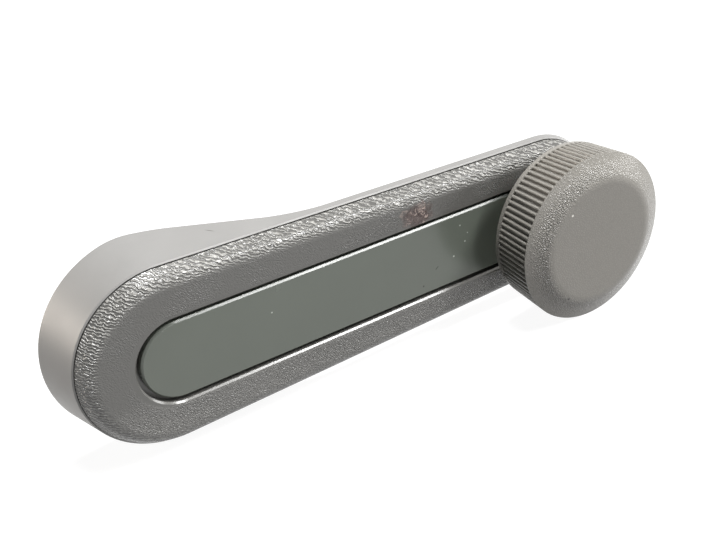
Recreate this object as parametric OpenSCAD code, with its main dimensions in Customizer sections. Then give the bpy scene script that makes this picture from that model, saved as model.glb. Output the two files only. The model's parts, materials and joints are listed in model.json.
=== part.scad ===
// Window crank handle.
// Each module is drawn lying on its back: x runs along the arm from the hub axis to the knob axis,
// y runs across the arm and z rises from the hub's rear face towards the knob.
// upright() then turns the piece so that the face looks along -Y, as the crank hangs on a door.

/* [Arm] */
// Distance from the hub axis to the knob axis
crank_radius = 85; // [75:1:110]
// Half width of the arm at the hub, on the seam between the two shells
hub_r = 17.9; // [17:0.1:20]
// Half width of the arm at the knob end, on the same seam
tip_r = 15.4; // [14:0.1:17]
// Height of the seam above the hub's rear face
seam_h = 10.6; // [10.5:0.1:11]
// Height of the face above the seam
face_rise = 3.1; // [2.9:0.1:3.8]

/* [Rear housing] */
// Radius of the flared hub at its rear face
hub_foot_r = 20.1; // [19:0.1:22]
// Depth of the housing along the arm, under the seam
lip_h = 1.6; // [1.4:0.1:2]
// Where the ramp leaves the hub's rear face
ramp_start = 1; // [0:0.5:3]
// Where the ramp reaches the arm
ramp_end = 29; // [27:0.5:32]
// Radius of the bends at both ends of the ramp
ramp_bend_r = 40; // [25:1:45]
// Thickness of the rear skin along the arm
rear_skin = 1.1; // [1:0.05:1.3]
// Thickness of the side walls
side_wall = 2; // [1.6:0.1:2.3]
// Height at which the core plate sits in the hub
hub_seat_h = 5.4; // [5:0.1:5.6]
// Thickness of the floor under that seat
hub_floor_t = 1.2; // [1:0.1:1.5]
// Wall of the collar around the spline hub
hub_collar_t = 1.9; // [1.5:0.1:2.5]
// Number of stiffeners between the collar and the skirt
stiffeners = 7; // [5:1:9]
// Thickness of a stiffener
stiffener_t = 1; // [0.8:0.1:1.4]
// Depth of the stiffeners below the rear face
stiffener_drop = 1; // [0.5:0.1:2]

/* [Face frame] */
// Step between the frame and the seam outline
ledge = 0.2; // [0.1:0.05:0.5]
// Inward lean of the frame's side, in degrees
side_lean = 33; // [25:1:38]
// Radius of the frame's shoulder
shoulder_r = 3; // [2.5:0.1:3.2]
// Thickness of the frame's skin
frame_skin = 1.8; // [1.6:0.1:2]
// Width of the frame's wall where it stands on the housing
frame_wall = 2.6; // [2.2:0.1:3]
// Half width of the pocket at the hub
pocket_hub_r = 8.4; // [8.2:0.05:8.8]
// Half width of the pocket at the knob end
pocket_tip_r = 8.14; // [7.9:0.02:8.5]
// Where the round end of the pocket is centred
pocket_x = 0.85; // [0.5:0.05:1.2]
// Wall around the pocket, under the skin
pocket_wall = 1.2; // [1:0.1:1.5]
// Gap between the spigot of the spline hub and the screwdriver well over it
well_gap = 0.6; // [0.3:0.1:0.8]
// Wall of the screwdriver well
well_wall = 1; // [0.8:0.1:1.2]

/* [Insert strip] */
// Thickness of the strip
strip_t = 1.4; // [1.2:0.05:1.5]
// Gap under the strip
strip_rest_gap = 0.2; // [0.15:0.05:0.3]
// Gap along the sides of the strip
strip_side_gap = 0.65; // [0.4:0.05:0.8]
// Pry gap at the hub end of the strip
pry_gap = 0.9; // [0.8:0.1:1.5]
// Chamfer along the strip's upper edge
strip_chamfer = 0.5; // [0.3:0.05:0.6]
// Thickness of the neck between the strip and its bead
neck_t = 0.9; // [0.7:0.05:0.95]
// Distance from the bead to the knob axis
bead_back = 8; // [8:0.1:9]
// Length of a snap leg along the arm
leg_l = 3; // [2.5:0.1:4]
// Thickness of a snap leg
leg_t = 0.9; // [0.7:0.05:1.1]
// Gap between the snap legs and the housing under them
leg_gap = 0.4; // [0.3:0.05:0.8]
// Distance of the snap legs from the middle of the strip
leg_y = 5.6; // [5:0.1:5.8]
// Place of the snap legs nearer the hub
leg_hub_x = 26; // [25:0.5:30]
// Distance of the other snap legs from the knob axis
leg_knob_back = 27; // [25:0.5:35]

/* [Core plate] */
// Thickness of the steel core plate
plate_t = 1.2; // [1:0.05:1.2]
// Half width of the plate at the hub
plate_hub_r = 11.5; // [11:0.1:13]
// Half width of the plate at the knob end
plate_tip_r = 7.5; // [7.2:0.1:9]
// Height of the plate's joggle above the inner face of the ramp
joggle_gap = 0.9; // [0.5:0.1:1.2]
// Bend radius of the joggle
joggle_r = 6; // [4:0.5:10]

/* [Spline hub] */
// Radius at the crests of the serrated bore
spline_r = 5; // [4.5:0.1:5.2]
// Depth of the serrations
spline_depth = 0.6; // [0.4:0.05:0.7]
// Number of serrations
splines = 24; // [18:1:30]
// Outer radius of the spline hub
spline_hub_r = 8; // [7.5:0.1:8.5]
// Radius of the spigot that is staked into the core plate
spigot_r = 6; // [5.5:0.1:6.2]
// Distance from the axis to each flat on the spigot
spigot_flat = 5.3; // [5:0.1:5.5]
// Height of the staked spigot above the core plate
spigot_proud = 0.2; // [0.1:0.05:0.3]
// Radius of the hole for the spindle's retaining screw
screw_hole_r = 2.65; // [2.2:0.05:2.8]

/* [Frame screws] */
// Place of the two self-tapping screws along the arm
tapper_x = 17; // [16.5:0.5:18]
// Distance of each screw from the middle of the arm
tapper_y = 4.8; // [4.2:0.1:5]
// Radius of the screw's shank
tapper_r = 1.05; // [0.9:0.05:1.2]
// Length of the screw under its head
tapper_l = 4.1; // [3.8:0.1:4.3]
// Radius of the screw's head
tapper_head_r = 2; // [1.8:0.05:2.1]
// Height of the screw's head
tapper_head_h = 1.4; // [1.2:0.05:1.45]
// Length of the cross recess in the head
recess_l = 2.6; // [2:0.1:3]
// Width of the cross recess
recess_w = 0.55; // [0.4:0.05:0.7]
// Radius of the boss that takes the screw
tapper_boss_r = 2.4; // [2.2:0.05:2.6]
// Thickness of the frame under the screw's head
tapper_seat_t = 0.9; // [0.8:0.05:1]

/* [Knob] */
// Gap between the face of the arm and the knob's lower edge
knob_gap = 4.2; // [3.9:0.1:5]
// Height of the knob
knob_h = 12; // [11:0.1:15]
// Largest radius of the knob, at the upper end of its ribbed side
knob_r = 17.65; // [16:0.05:20]
// How far that side is drawn in towards the knob's lower edge
side_draw = 0.75; // [0.5:0.05:1]
// Depth of the grooves between the ribs
rib_h = 0.5; // [0.3:0.05:0.7]
// Height of the plain lip under the grooves
knob_lip_h = 1.1; // [0.8:0.1:2]
// Height of the slanted edge round the face
edge_h = 2.3; // [2:0.1:2.6]
// Width of the slanted edge round the face
edge_w = 4.7; // [4.2:0.1:5.2]
// Radius of the bend between the slanted edge and the face
crest_r = 3.4; // [2:0.2:5]
// Number of ribs
ribs = 90; // [60:1:96]
// Share of the pitch that is groove
groove_share = 0.5; // [0.4:0.05:0.6]
// Distance between the grooves and the slanted edge over them
groove_end = 0.1; // [0.1:0.05:0.4]
// Wall of the cap behind the grooves, at its lower edge
cap_wall = 1.6; // [1.4:0.05:2]
// Step in the wall that seats the core
cap_step = 0.5; // [0.4:0.05:0.6]
// Thickness of the cap under its face
cap_top_t = 1.9; // [1.6:0.1:2.2]
// Recess of the core above the knob's lower edge
core_recess = 0.7; // [0.5:0.1:1]
// Thickness of the core's disc
core_disc_t = 1.4; // [1.2:0.1:1.8]
// Wall of the core's tube around the bush
core_tube_t = 1.8; // [1.4:0.1:2.2]
// How far that tube stands out below the knob's lower edge
core_tube_drop = 0.7; // [0.5:0.1:1]
// Room between the end of the spindle and the cap
cap_room = 0.7; // [0.4:0.1:1]
// Number of gussets between the core's disc and its tube
gussets = 6; // [4:1:8]
// Thickness of a gusset
gusset_t = 1.2; // [1:0.1:1.6]
// Height of the gussets, as a share of the tube between the disc and the bush's flange
gusset_share = 0.7; // [0.4:0.05:0.8]

/* [Knob bearing] */
// Radius of the knob's spindle
spindle_r = 3.5; // [3.3:0.05:4]
// Step between the spindle and its riveted tail
spindle_step = 0.5; // [0.4:0.05:0.7]
// Wall of the bearing bush
bush_wall = 1.25; // [1:0.05:1.5]
// Thickness of the bush's flange
bush_flange_t = 0.8; // [0.6:0.05:1]
// Width of the bush's flange beyond its sleeve
bush_flange_w = 1.4; // [1:0.1:1.6]
// Distance between the collar under the knob and the strip's bead
collar_clear = 0.8; // [0.6:0.1:1.5]
// Width of the conical spring washer
spring_w = 2.8; // [2.4:0.1:3.2]
// Height of the spring washer
spring_h = 0.9; // [0.7:0.05:1]
// Thickness of the spring washer's strip
spring_t = 0.45; // [0.3:0.05:0.5]
// Width of the thrust washer
thrust_w = 2.4; // [2:0.1:2.8]
// Thickness of the thrust washer
thrust_t = 0.5; // [0.4:0.05:0.6]
// Width of the retaining ring
ring_w = 2.4; // [2:0.1:2.6]
// Thickness of the retaining ring
ring_t = 0.7; // [0.6:0.05:0.8]
// Depth of the ring's groove in the spindle
ring_groove = 0.7; // [0.5:0.05:0.8]
// Length of the spindle beyond the ring
spindle_tail = 0.6; // [0.5:0.05:0.7]
// Width of the washer under the rivet head
rivet_washer_w = 3; // [2:0.1:4]
// Thickness of that washer
rivet_washer_t = 0.8; // [0.6:0.05:1]
// Width of the rivet head beyond the tail
rivet_w = 1.6; // [1.2:0.1:2]
// Height of the rivet head
rivet_h = 1.2; // [1:0.1:1.6]

/* [Fits] */
// Gap between pieces that are pressed or riveted together
press_gap = 0.03; // [0.02:0.01:0.05]
// Radial gap in the running fits of the knob and of the strip's bead
running_gap = 0.05; // [0.03:0.01:0.08]
// Gap between faces that slide past each other
slide_gap = 0.1; // [0.08:0.01:0.15]
// Gap around pieces that pass through a loose hole
loose_gap = 0.35; // [0.25:0.05:0.45]

/* [Hidden] */
$fn = 72;
eps = 0.01;                                          // Overrun of a cut past a face
overlap = 1;                                         // Depth that one solid runs into its neighbour
hull_fn = 48;                                        // Sides of the round ends inside a hull
arc_steps = 36;                                      // Chords in a round end of an outline
bend_steps = 8;                                      // Chords in a bend of a profile

// Heights of the arm's rear surface and of the face
arm_rear_h = seam_h - lip_h;
face_h = seam_h + face_rise;

// Slope of the ramp and growth of the flare
ramp_angle = atan2(arm_rear_h, ramp_end - ramp_start);
flare = (hub_foot_r - hub_r) / seam_h;
rear_skin_rise = rear_skin / cos(ramp_angle);

// Where the ramp's inner face, carried on straight, reaches the given height
function inner_ramp_x(h) = ramp_start + (h - rear_skin_rise) / tan(ramp_angle);

// Bend radius inside the housing, and the reach of cuts that pass beyond the whole crank
inner_bend_r = ramp_bend_r / 2;
beyond = 2 * hub_foot_r;

// Heights of the layers in the arm, from the rear to the face
plate_h = arm_rear_h + rear_skin;
frame_floor_h = plate_h + plate_t;
frame_inner_h = face_h - frame_skin;
strip_h = frame_inner_h + strip_rest_gap;
plate_hub_top = hub_seat_h + plate_t;

// The plate's joggle, which follows the inner face of the ramp
joggle_start = inner_ramp_x(hub_seat_h - joggle_gap);
joggle_end = inner_ramp_x(plate_h - joggle_gap);

// The strip's bead and the end of the pocket that holds it
bead_r = strip_t / 2;
bead_x = crank_radius - bead_back;
bead_z = strip_h + bead_r;
bead_seat_r = bead_r + running_gap;
pocket_end_x = bead_x - bead_seat_r / 3;
strip_end_x = pocket_end_x - slide_gap - strip_t / 3;
strip_hub_r = pocket_hub_r - strip_side_gap;
strip_tip_r = pocket_tip_r - strip_side_gap;
strip_x = pocket_x + pry_gap - strip_side_gap;
leg_places = [leg_hub_x, crank_radius - leg_knob_back];
leg_bottom = plate_h + leg_gap;

// The self-tapping screws
tapper_seat_h = frame_inner_h - tapper_head_h - slide_gap;
tapper_boss_h = tapper_seat_h - tapper_seat_t;
tapper_cup_bore = tapper_head_r + slide_gap;
tapper_cup_r = tapper_cup_bore + well_wall;
well_r = spigot_r + well_gap;

// Radii and heights of the knob's cap
knob_base_h = face_h + knob_gap;
knob_top_h = knob_base_h + knob_h;
knob_low_r = knob_r - side_draw;
cap_bore_r = knob_low_r - rib_h - cap_wall;
cap_inner_h = knob_top_h - cap_top_t;
ribs_bottom = knob_base_h + knob_lip_h;
edge_bottom = knob_top_h - edge_h;

// Lean of the knob's side, slant of the edge round its face, and where the flat of the face begins
side_a = atan2(side_draw, edge_bottom - knob_base_h);
edge_a = atan2(edge_h, edge_w);
flat_r = knob_r - edge_w - crest_r * tan(edge_a / 2);

// Where the bore's wall bends in, to run under the slanted edge at the thickness of the face
cap_bend_h = edge_bottom + (knob_r - cap_bore_r) * tan(edge_a) - cap_top_t;

// Heights of the layers under and inside the knob
core_disc_h = knob_base_h + core_recess;
cap_step_h = core_disc_h + core_disc_t;
core_tube_h = knob_base_h - core_tube_drop;
spring_top = core_tube_h - slide_gap;
collar_top = spring_top - spring_h;
spindle_top = cap_inner_h - cap_room;
ring_h = spindle_top - spindle_tail - ring_t;
thrust_h = ring_h - thrust_t;
bush_top = thrust_h - slide_gap;
bush_flange_h = bush_top - bush_flange_t;

// Radii of the knob's bearing
rivet_tail_r = spindle_r - spindle_step;
rivet_r = rivet_tail_r + rivet_w;
ring_seat_r = spindle_r - ring_groove;
bush_r = spindle_r + running_gap + bush_wall;
core_tube_r = bush_r + press_gap + core_tube_t;
core_disc_r = cap_bore_r + cap_step - press_gap;
collar_r = bead_back - collar_clear;

shell_grey = [0.42, 0.42, 0.41];
frame_grey = [0.27, 0.27, 0.265];
strip_grey = [0.24, 0.255, 0.245];
knob_grey = [0.33, 0.32, 0.31];
steel = [0.66, 0.67, 0.68];
zinc = [0.56, 0.57, 0.58];
nylon = [0.86, 0.85, 0.8];
bronze = [0.8, 0.58, 0.36];

// Turns a piece from lying on its back to its place on an upright door
module upright() {
    rotate([90, 0, 0]) children();
}

module at_knob(h = 0) {
    translate([crank_radius, 0, h]) children();
}

module ring(outer_r, inner_r, h) {
    difference() {
        cylinder(r = outer_r, h = h);
        translate([0, 0, -eps]) cylinder(r = inner_r, h = h + 2 * eps);
    }
}

// Outline round two unequal circles, at 0 and at the given length, with straight sides that touch both
module stadium(r1, r2, length) {
    touch = acos((r1 - r2) / length);
    polygon(concat(
        [for (i = [0:arc_steps]) let (a = touch + (360 - 2 * touch) * i / arc_steps)
            [r1 * cos(a), r1 * sin(a)]],
        [for (i = [0:arc_steps]) let (a = -touch + 2 * touch * i / arc_steps)
            [length + r2 * cos(a), r2 * sin(a)]]
    ));
}

// Points of a rising step from [x0, z0] to [x1, z1], with both corners bent to radius r
function bent_step(x0, z0, x1, z1, r) =
    let (turn = atan2(z1 - z0, x1 - x0), reach = r * tan(turn / 2))
    concat(
        [for (i = [0:bend_steps]) let (a = turn * i / bend_steps)
            [x0 - reach + r * sin(a), z0 + r * (1 - cos(a))]],
        [for (i = [bend_steps:-1:0]) let (a = turn * i / bend_steps)
            [x1 + reach - r * sin(a), z1 - r * (1 - cos(a))]]
    );

// A side profile, given as points in x and z, drawn across the whole width of the arm
module across(points) {
    rotate([90, 0, 0]) linear_extrude(height = 2 * beyond, center = true) polygon(points);
}

// Everything above a stepped floor
module above_step(x0, z0, x1, z1, r) {
    across(concat(
        [[-beyond, z0]], bent_step(x0, z0, x1, z1, r),
        [[crank_radius + beyond, z1], [crank_radius + beyond, beyond], [-beyond, beyond]]
    ));
}

// The flared body between the rear face and the seam, drawn in by an inset
module flared_body(inset) {
    hull() {
        cylinder(r1 = hub_foot_r - inset, r2 = hub_r - inset, h = seam_h, $fn = hull_fn);
        at_knob()
            cylinder(r1 = tip_r + flare * seam_h - inset, r2 = tip_r - inset, h = seam_h, $fn = hull_fn);
    }
}

module tapper_places() {
    for (side = [-1, 1]) translate([tapper_x, side * tapper_y, 0]) children();
}

module leg_holes(bottom, top) {
    for (x = leg_places, side = [-1, 1])
        translate([x, side * leg_y, (bottom + top) / 2])
            cube([leg_l + 2 * loose_gap, leg_t + 2 * loose_gap, top - bottom], center = true);
}

// Space between the hub's collar and its skirt, open to the rear and crossed by stiffeners
module hub_recess() {
    depth = hub_seat_h - hub_floor_t;
    outer_r = hub_foot_r - side_wall;
    collar = spline_hub_r + hub_collar_t;
    difference() {
        translate([0, 0, -eps]) cylinder(r1 = outer_r, r2 = outer_r - flare * depth, h = depth + eps);
        translate([0, 0, -overlap]) cylinder(r = collar, h = depth + 2 * overlap);
        for (i = [1:stiffeners])
            rotate(i * 360 / (stiffeners + 1))
                translate([collar - overlap, -stiffener_t / 2, stiffener_drop])
                    cube([hub_foot_r, stiffener_t, depth]);
    }
}

// Hollow inside the housing, less the collar of the spline hub and the two screw bosses
module housing_hollow() {
    difference() {
        intersection() {
            translate([0, 0, eps]) flared_body(side_wall);
            above_step(inner_ramp_x(hub_seat_h), hub_seat_h, inner_ramp_x(plate_h), plate_h, inner_bend_r);
        }
        tapper_places() cylinder(r = tapper_boss_r, h = tapper_boss_h);
    }
}

// Smooth rear shell: flared hub, ramp and shallow tray along the arm
module rear_housing() {
    color(shell_grey) upright() difference() {
        union() {
            difference() {
                intersection() {
                    flared_body(0);
                    above_step(ramp_start, 0, ramp_end, arm_rear_h, ramp_bend_r);
                }
                housing_hollow();
                hub_recess();
            }
            cylinder(r = spline_hub_r + hub_collar_t, h = hub_seat_h);
        }
        translate([0, 0, -eps]) cylinder(r = spline_hub_r + press_gap, h = hub_seat_h + 2 * eps);
        tapper_places() translate([0, 0, tapper_seat_h - tapper_l - slide_gap])
            cylinder(r = tapper_r + press_gap, h = tapper_l);
        at_knob(arm_rear_h - eps) cylinder(r = rivet_tail_r + press_gap, h = rear_skin + 2 * eps);
    }
}

// Section of the frame: leaning side, round shoulder and half of the flat face
function frame_section(r) =
    let (foot = r - ledge, bend_h = face_h - shoulder_r + shoulder_r * sin(side_lean),
         bend_x = foot - (bend_h - seam_h) * tan(side_lean), middle = bend_x - shoulder_r * cos(side_lean))
    concat(
        [[0, seam_h], [foot, seam_h]],
        [for (i = [0:bend_steps]) let (a = side_lean + (90 - side_lean) * i / bend_steps)
            [middle + shoulder_r * cos(a), face_h - shoulder_r + shoulder_r * sin(a)]],
        [[0, face_h]]
    );

module frame_body() {
    hull() {
        rotate_extrude($fn = hull_fn) polygon(frame_section(hub_r));
        at_knob() rotate_extrude($fn = hull_fn) polygon(frame_section(tip_r));
    }
}

// Outline of the pocket, or of the strip in it: a round hub end and a square knob end
module pocket_outline(start_x, end_x, r1, r2) {
    intersection() {
        translate([start_x, 0]) stadium(r1, r2, crank_radius - start_x);
        translate([start_x - 2 * r1, -2 * r1]) square([end_x - start_x + 2 * r1, 4 * r1]);
    }
}

// Grained cover of the arm, with the pocket for the strip
module face_frame() {
    inset = ledge + frame_wall;
    tip_boss_r = pocket_tip_r + pocket_wall;
    color(frame_grey) upright() difference() {
        union() {
            difference() {
                frame_body();
                translate([0, 0, seam_h - eps]) linear_extrude(height = frame_inner_h - seam_h + eps)
                    stadium(hub_r - inset, tip_r - inset, crank_radius);
            }
            translate([0, 0, frame_floor_h]) linear_extrude(height = frame_inner_h + eps - frame_floor_h)
                pocket_outline(pocket_x, crank_radius, pocket_hub_r + pocket_wall, tip_boss_r);
            at_knob(frame_floor_h) cylinder(r = tip_boss_r, h = frame_inner_h + eps - frame_floor_h);
            translate([0, 0, plate_hub_top])
                cylinder(r = well_r + well_wall, h = frame_inner_h - plate_hub_top);
            tapper_places() translate([0, 0, tapper_boss_h])
                cylinder(r = tapper_cup_r, h = frame_inner_h - tapper_boss_h);
        }
        translate([0, 0, frame_inner_h]) linear_extrude(height = frame_skin + eps)
            pocket_outline(pocket_x, pocket_end_x, pocket_hub_r, pocket_tip_r);
        translate([bead_x, 0, bead_z]) rotate([90, 0, 0])
            cylinder(r = bead_seat_r, h = 2 * pocket_tip_r, center = true);
        translate([0, 0, plate_hub_top - eps]) cylinder(r = well_r, h = face_h - plate_hub_top);
        tapper_places() {
            translate([0, 0, tapper_seat_h]) cylinder(r = tapper_cup_bore, h = face_h - tapper_seat_h);
            translate([0, 0, tapper_boss_h - eps])
                cylinder(r = tapper_r + slide_gap, h = tapper_seat_t + 2 * eps);
        }
        leg_holes(frame_floor_h - overlap, frame_inner_h + eps);
        at_knob(seam_h) cylinder(r = rivet_tail_r + press_gap, h = face_h);
    }
}

// Smooth strip over the screws: lifts at the hub end and turns on the bead at its knob end
module insert_strip() {
    color(strip_grey) upright() {
        hull() {
            translate([0, 0, strip_h]) linear_extrude(height = strip_t - strip_chamfer)
                pocket_outline(strip_x, strip_end_x, strip_hub_r, strip_tip_r, $fn = hull_fn);
            translate([0, 0, strip_h]) linear_extrude(height = strip_t)
                pocket_outline(strip_x, strip_end_x, strip_hub_r - strip_chamfer, strip_tip_r - strip_chamfer,
                    $fn = hull_fn);
        }
        translate([strip_end_x - overlap, -strip_tip_r, bead_z - neck_t / 2])
            cube([bead_x - strip_end_x + overlap, 2 * strip_tip_r, neck_t]);
        translate([bead_x, 0, bead_z]) rotate([90, 0, 0])
            cylinder(r = bead_r, h = 2 * strip_tip_r, center = true);
        for (x = leg_places, side = [-1, 1])
            translate([x - leg_l / 2, side * leg_y - leg_t / 2, leg_bottom])
                cube([leg_l, leg_t, bead_z - leg_bottom]);
    }
}

// Outline of the staked spigot: a circle with two flats
module spigot_outline(gap) {
    intersection() {
        circle(r = spigot_r + gap);
        square([4 * spigot_r, 2 * (spigot_flat + gap)], center = true);
    }
}

// Stamped steel plate that carries the load from the hub to the knob's spindle
module core_plate() {
    color(steel) upright() difference() {
        intersection() {
            linear_extrude(height = 2 * face_h) stadium(plate_hub_r, plate_tip_r, crank_radius);
            difference() {
                above_step(joggle_start, hub_seat_h, joggle_end, plate_h, joggle_r);
                translate([0, 0, plate_t])
                    above_step(joggle_start, hub_seat_h, joggle_end, plate_h, joggle_r);
            }
        }
        translate([0, 0, hub_seat_h - overlap]) linear_extrude(height = plate_t + 2 * overlap)
            spigot_outline(press_gap);
        tapper_places() cylinder(r = tapper_cup_r + loose_gap, h = face_h);
        leg_holes(hub_seat_h, face_h);
        at_knob() cylinder(r = rivet_tail_r + press_gap, h = face_h);
    }
}

// Serrated metal hub that grips the regulator's spindle
module spline_hub() {
    groove_a = 90 / splines;
    mouth = [spline_r * cos(groove_a) - spline_depth / 3, spline_r * sin(groove_a)];
    color(zinc) upright() difference() {
        union() {
            cylinder(r = spline_hub_r, h = hub_seat_h);
            linear_extrude(height = plate_hub_top + spigot_proud) spigot_outline(0);
        }
        translate([0, 0, -eps]) linear_extrude(height = hub_seat_h + eps) {
            circle(r = spline_r);
            for (i = [0:splines - 1]) rotate(i * 360 / splines)
                polygon([mouth, [spline_r + spline_depth, 0], [mouth.x, -mouth.y]]);
        }
        cylinder(r = screw_hole_r, h = face_h);
    }
}

// Two small self-tapping screws that hold the frame to the housing, under the strip
module frame_screws() {
    color(steel) upright() tapper_places() translate([0, 0, tapper_seat_h]) difference() {
        union() {
            cylinder(r = tapper_head_r, h = tapper_head_h);
            translate([0, 0, -tapper_l]) cylinder(r = tapper_r, h = tapper_l + eps);
        }
        for (turn = [0, 90]) rotate(turn) translate([0, 0, tapper_head_h])
            cube([recess_l, recess_w, tapper_head_h], center = true);
    }
}

// Shouldered steel pin that the knob turns on, riveted over at the rear of the arm
module knob_spindle() {
    seat_h = arm_rear_h - rivet_washer_t;
    color(steel) upright() at_knob() rotate_extrude() polygon([
        [0, seat_h - rivet_h], [rivet_r - rivet_h, seat_h - rivet_h],
        [rivet_r, seat_h - rivet_h / 3], [rivet_r, seat_h],
        [rivet_tail_r, seat_h], [rivet_tail_r, collar_top],
        [spindle_r, collar_top], [spindle_r, ring_h],
        [ring_seat_r, ring_h], [ring_seat_r, ring_h + ring_t],
        [spindle_r, ring_h + ring_t], [spindle_r, spindle_top - spindle_tail / 2],
        [spindle_r - spindle_tail / 2, spindle_top], [0, spindle_top]
    ]);
}

// Washer between the rivet head and the plastic rear of the arm
module rivet_washer() {
    color(steel) upright() at_knob(arm_rear_h - rivet_washer_t)
        ring(rivet_tail_r + rivet_washer_w, rivet_tail_r + press_gap, rivet_washer_t);
}

// Collar that holds the knob clear of the arm
module spindle_collar() {
    color(zinc) upright() at_knob(face_h) ring(collar_r, rivet_tail_r + press_gap, collar_top - face_h);
}

// Conical spring washer that takes up the knob's end play
module spring_washer() {
    inner_r = spindle_r + slide_gap;
    outer_r = inner_r + spring_w;
    color(steel) upright() at_knob(collar_top) rotate_extrude() polygon([
        [inner_r, 0], [inner_r + spring_t, 0], [outer_r, spring_h - spring_t],
        [outer_r, spring_h], [outer_r - spring_t, spring_h], [inner_r, spring_t]
    ]);
}

// Plastic washer between the bush and the retaining ring
module thrust_washer() {
    color(nylon) upright() at_knob(thrust_h) ring(spindle_r + thrust_w, spindle_r + slide_gap, thrust_t);
}

// Open spring ring in the spindle's groove
module retaining_ring() {
    outer_r = ring_seat_r + ring_w;
    color(steel) upright() at_knob(ring_h) difference() {
        ring(outer_r, ring_seat_r + press_gap, ring_t);
        translate([0, -ring_seat_r, -eps]) cube([2 * outer_r, 2 * ring_seat_r, ring_t + 2 * eps]);
    }
}

// Disc and tube inside the knob, which carry the bush
module knob_core() {
    tube_l = bush_flange_h - core_tube_h;
    gusset_h = gusset_share * (bush_flange_h - core_disc_h);
    color(nylon) upright() at_knob() difference() {
        union() {
            translate([0, 0, core_disc_h]) cylinder(r = core_disc_r, h = core_disc_t);
            translate([0, 0, core_tube_h]) cylinder(r = core_tube_r, h = tube_l);
            for (i = [1:gussets]) rotate(i * 360 / gussets)
                translate([core_tube_r - core_tube_t / 2, -gusset_t / 2, core_disc_h])
                    cube([cap_bore_r - cap_step - core_tube_r, gusset_t, gusset_h]);
        }
        translate([0, 0, core_tube_h - eps]) cylinder(r = bush_r + press_gap, h = tube_l + 2 * eps);
    }
}

// Flanged bearing bush pressed into the core
module knob_bush() {
    bush_l = bush_top - core_tube_h;
    color(bronze) upright() at_knob() difference() {
        union() {
            translate([0, 0, core_tube_h]) cylinder(r = bush_r, h = bush_l);
            translate([0, 0, bush_flange_h]) cylinder(r = bush_r + bush_flange_w, h = bush_flange_t);
        }
        translate([0, 0, core_tube_h - eps]) cylinder(r = spindle_r + running_gap, h = bush_l + 2 * eps);
    }
}

// Half section of the cap: leaning side, slanted edge, bend and face, hollow inside
cap_section = concat(
    [[cap_bore_r + cap_step, knob_base_h], [knob_low_r, knob_base_h], [knob_r, edge_bottom]],
    [for (i = [bend_steps:-1:0]) let (a = edge_a * i / bend_steps)
        [flat_r + crest_r * sin(a), knob_top_h - crest_r * (1 - cos(a))]],
    [[0, knob_top_h], [0, cap_inner_h], [knob_r - edge_w, cap_inner_h], [cap_bore_r, cap_bend_h],
     [cap_bore_r, cap_step_h], [cap_bore_r + cap_step, cap_step_h]]
);

// Cap that the fingers turn, with the grooves that leave its ribs
module knob_cap() {
    groove_w = groove_share * 2 * PI * knob_r / ribs;
    groove_l = (edge_bottom - groove_end - ribs_bottom) / cos(side_a);
    groove_low_r = knob_low_r + knob_lip_h * tan(side_a) - rib_h;
    color(knob_grey) upright() at_knob() difference() {
        rotate_extrude($fn = 120) polygon(cap_section);
        for (i = [0:ribs - 1]) rotate(i * 360 / ribs)
            translate([groove_low_r, -groove_w / 2, ribs_bottom]) rotate([0, side_a, 0])
                cube([2 * rib_h, groove_w, groove_l]);
    }
}

rear_housing();
face_frame();
insert_strip();
core_plate();
spline_hub();
frame_screws();
knob_spindle();
rivet_washer();
spindle_collar();
spring_washer();
thrust_washer();
retaining_ring();
knob_core();
knob_bush();
knob_cap();
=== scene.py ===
"""Looks of a window crank handle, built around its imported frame.

Each piece is drawn lying on its back, in millimetres: x runs along the arm, y across it, and z rises from
the hub's rear face towards the knob. set_upright() then turns it as it hangs on a door, in metres.
"""

import json
import math
from contextlib import contextmanager

import bmesh
import bpy
from bpy.props import FloatProperty, FloatVectorProperty, IntProperty, PointerProperty
from mathutils import Matrix, Vector


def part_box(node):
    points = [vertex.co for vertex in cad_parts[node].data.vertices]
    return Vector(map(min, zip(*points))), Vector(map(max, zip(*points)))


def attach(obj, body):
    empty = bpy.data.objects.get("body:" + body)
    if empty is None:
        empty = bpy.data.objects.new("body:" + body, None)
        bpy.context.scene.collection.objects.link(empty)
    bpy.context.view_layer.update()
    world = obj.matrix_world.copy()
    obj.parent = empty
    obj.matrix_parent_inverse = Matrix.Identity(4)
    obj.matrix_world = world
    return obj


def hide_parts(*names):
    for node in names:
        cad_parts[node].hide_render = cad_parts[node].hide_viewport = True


bl_info = {
    "name": "Window crank handle",
    "version": (1, 0, 0),
    "blender": (4, 5, 0),
    "location": "3D View > Sidebar > Crank",
    "description": "Builds the shells, strip, knob and finishes of a window crank around its frame",
    "category": "Object",
}

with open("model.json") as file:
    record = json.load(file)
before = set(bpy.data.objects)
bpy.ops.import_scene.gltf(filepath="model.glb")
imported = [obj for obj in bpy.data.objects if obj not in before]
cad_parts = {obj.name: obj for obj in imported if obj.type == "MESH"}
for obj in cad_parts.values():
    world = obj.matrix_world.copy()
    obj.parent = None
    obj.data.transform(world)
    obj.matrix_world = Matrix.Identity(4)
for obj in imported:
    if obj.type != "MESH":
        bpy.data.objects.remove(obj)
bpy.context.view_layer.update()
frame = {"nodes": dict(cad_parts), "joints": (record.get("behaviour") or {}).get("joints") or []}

SHELL_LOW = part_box("rear_housing")[0]
FRAME_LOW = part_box("face_frame")[0]
STRIP_LOW, STRIP_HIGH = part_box("insert_strip")
CAP_LOW, CAP_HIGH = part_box("knob_cap")
KNOB_X = next(j["pos_m"][0] for j in frame["joints"] if j["name"] == "knob_spin")

COLOUR_A, COLOUR_B = 6, 7              # A Mix node's sockets for two colours
EPS = 0.01                             # Tolerance on the place of a point, in mm
WELD = 0.002                           # Points nearer to each other than this are merged, in mm

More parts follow.
